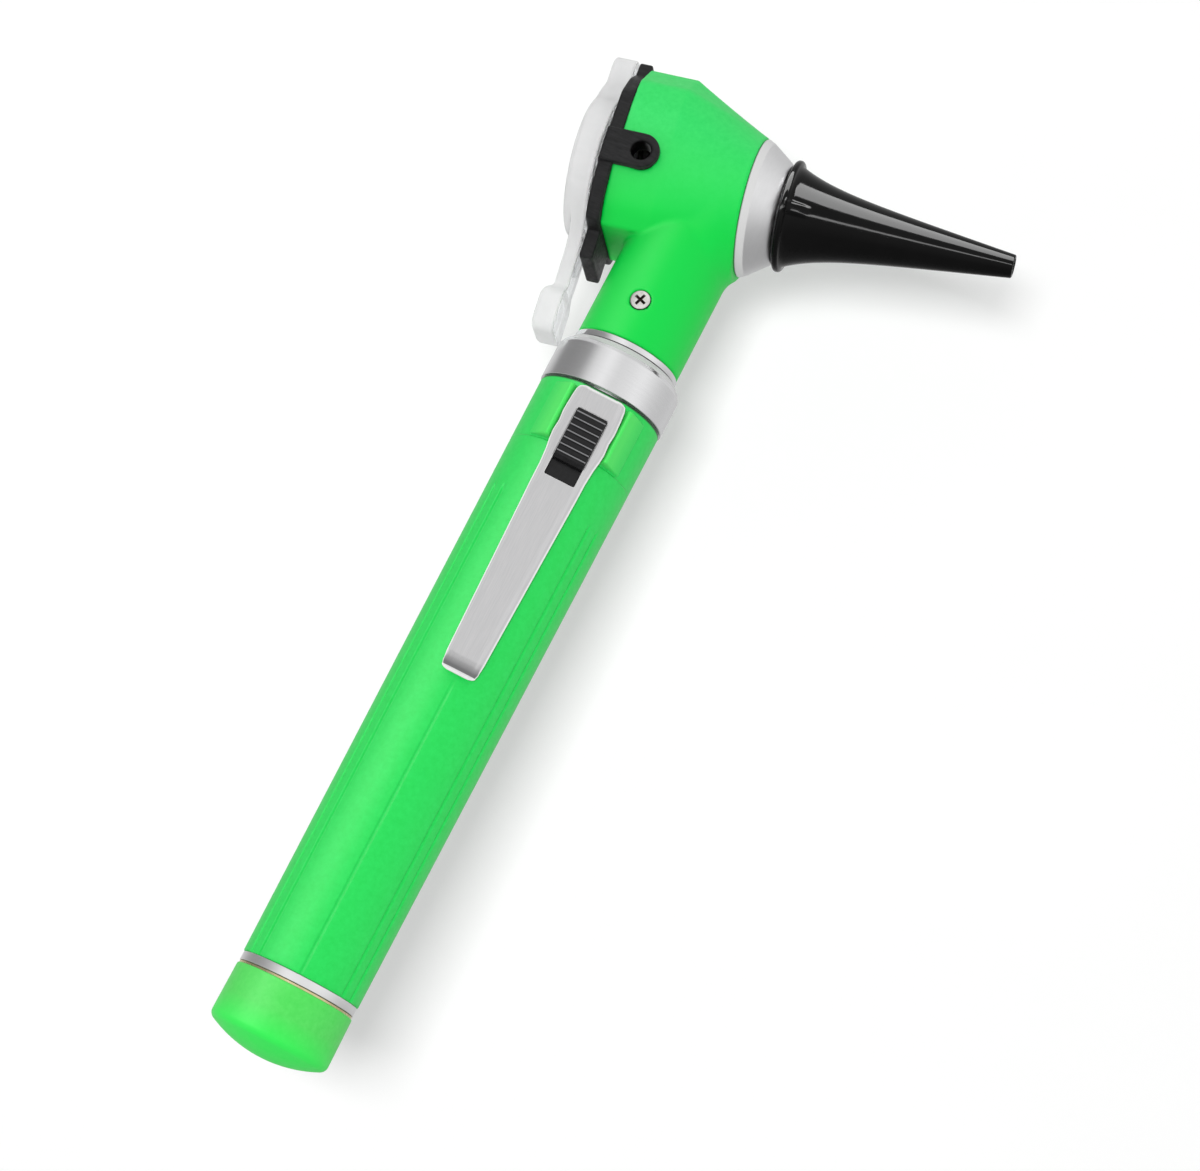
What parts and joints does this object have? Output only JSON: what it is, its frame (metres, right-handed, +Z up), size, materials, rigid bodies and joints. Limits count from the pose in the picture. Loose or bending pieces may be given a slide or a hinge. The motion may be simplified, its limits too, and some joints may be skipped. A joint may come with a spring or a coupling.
{
  "type": "otoscope",
  "caption": "Pocket fibre-optic otoscope: battery handle with clip and slide switch, screw-on head with swinging lens, insufflation port and pull-off ear speculum.",
  "frame": {"origin": "on the handle's axis, at the lowest point of the end cap's dome", "axes": "+Z up along the handle, +X the side the speculum points to, -X the viewing lens's side, -Y the switch, clip and insufflation port's side"},
  "size_m": [0.0728, 0.0247, 0.1672],
  "materials": {
    "green_plastic": "satin moulded ABS",
    "satin_metal": "satin turned",
    "bright_metal": "polished plating",
    "clip_steel": "fine brushed with polished edges",
    "brass": "plain turned",
    "black_switch": "satin moulded",
    "black_plate": "fine moulded grain",
    "speculum_plastic": "high gloss",
    "clear_lens": "clear acrylic with frosted edges",
    "bulb_glass": "clear",
    "fibre": "bundled fibres",
    "spring_steel": "drawn wire",
    "insulator_white": "moulded",
    "cell_jacket": "printed sleeve, plain, no text",
    "seal_rubber": "moulded"
  },
  "bodies": {
    "handle": {"handle_tube": "green_plastic", "top_collar": "satin_metal", "bottom_ring": "bright_metal", "contact_strip": "brass", "contact_insulator": "insulator_white", "centre_contact": "brass", "contact_spring": "spring_steel", "switch_frame": "black_switch", "battery_lower": "cell_jacket", "battery_upper": "cell_jacket"},
    "clip": {"pocket_clip": "clip_steel"},
    "switch": {"switch_slider": "black_switch", "switch_contact": "brass"},
    "cap_carrier": {"battery_spring": "spring_steel"},
    "cap": {"end_cap": "green_plastic", "cap_insert": "brass"},
    "lamp": {"lamp_base": "bright_metal", "lamp_insulator": "insulator_white", "lamp_contact": "brass", "lamp_bulb": "bulb_glass"},
    "head": {"head_base": "bright_metal", "head_housing": "green_plastic", "neck_screw": "bright_metal", "light_guide": "fibre", "nose_cone": "satin_metal", "nose_barrel": "satin_metal", "rear_plate": "black_plate", "lens_seal": "seal_rubber", "pivot_washer": "spring_steel", "lens_pivot": "bright_metal"},
    "lens": {"lens": "clear_lens"},
    "speculum": {"speculum": "speculum_plastic"}
  },
  "joints": [
    {"name": "switch_slide", "type": "slide", "parent": "handle", "child": "switch", "axis": [0, 0, -1], "range_m": [0, 0.0028]},
    {"name": "clip_flex", "type": "hinge", "parent": "handle", "child": "clip", "pos_m": [0.00247, -0.01069, 0.111], "axis": [-0.9744, -0.225, 0], "range_deg": [0, 3], "stiffness_Nm_per_rad": 2},
    {"name": "cap_travel", "type": "slide", "parent": "handle", "child": "cap_carrier", "axis": [0, 0, -1], "range_m": [0, 0.0061]},
    {"name": "cap_unscrew", "type": "hinge", "parent": "cap_carrier", "child": "cap", "pos_m": [0, 0, 0.005], "axis": [0, 0, -1], "range_deg": [0, 2160]},
    {"name": "head_lift", "type": "slide", "parent": "handle", "child": "lamp", "axis": [0, 0, 1], "range_m": [0, 0.0041]},
    {"name": "head_unscrew", "type": "hinge", "parent": "lamp", "child": "head", "pos_m": [0, 0, 0.12], "axis": [0, 0, 1], "range_deg": [0, 1440]},
    {"name": "lens_swing", "type": "hinge", "parent": "head", "child": "lens", "pos_m": [-0.0213, 0, 0.16257], "axis": [0.9848, 0, 0.1736], "range_deg": [-100, 100]},
    {"name": "speculum_pull", "type": "slide", "parent": "head", "child": "speculum", "axis": [0.9848, 0, 0.1736], "range_m": [0, 0.04]}
  ],
  "couplings": [
    {"joint": "cap_travel", "follows": "cap_unscrew", "m_per_rad": 0.00015915},
    {"joint": "head_lift", "follows": "head_unscrew", "m_per_rad": 0.00015915}
  ]
}
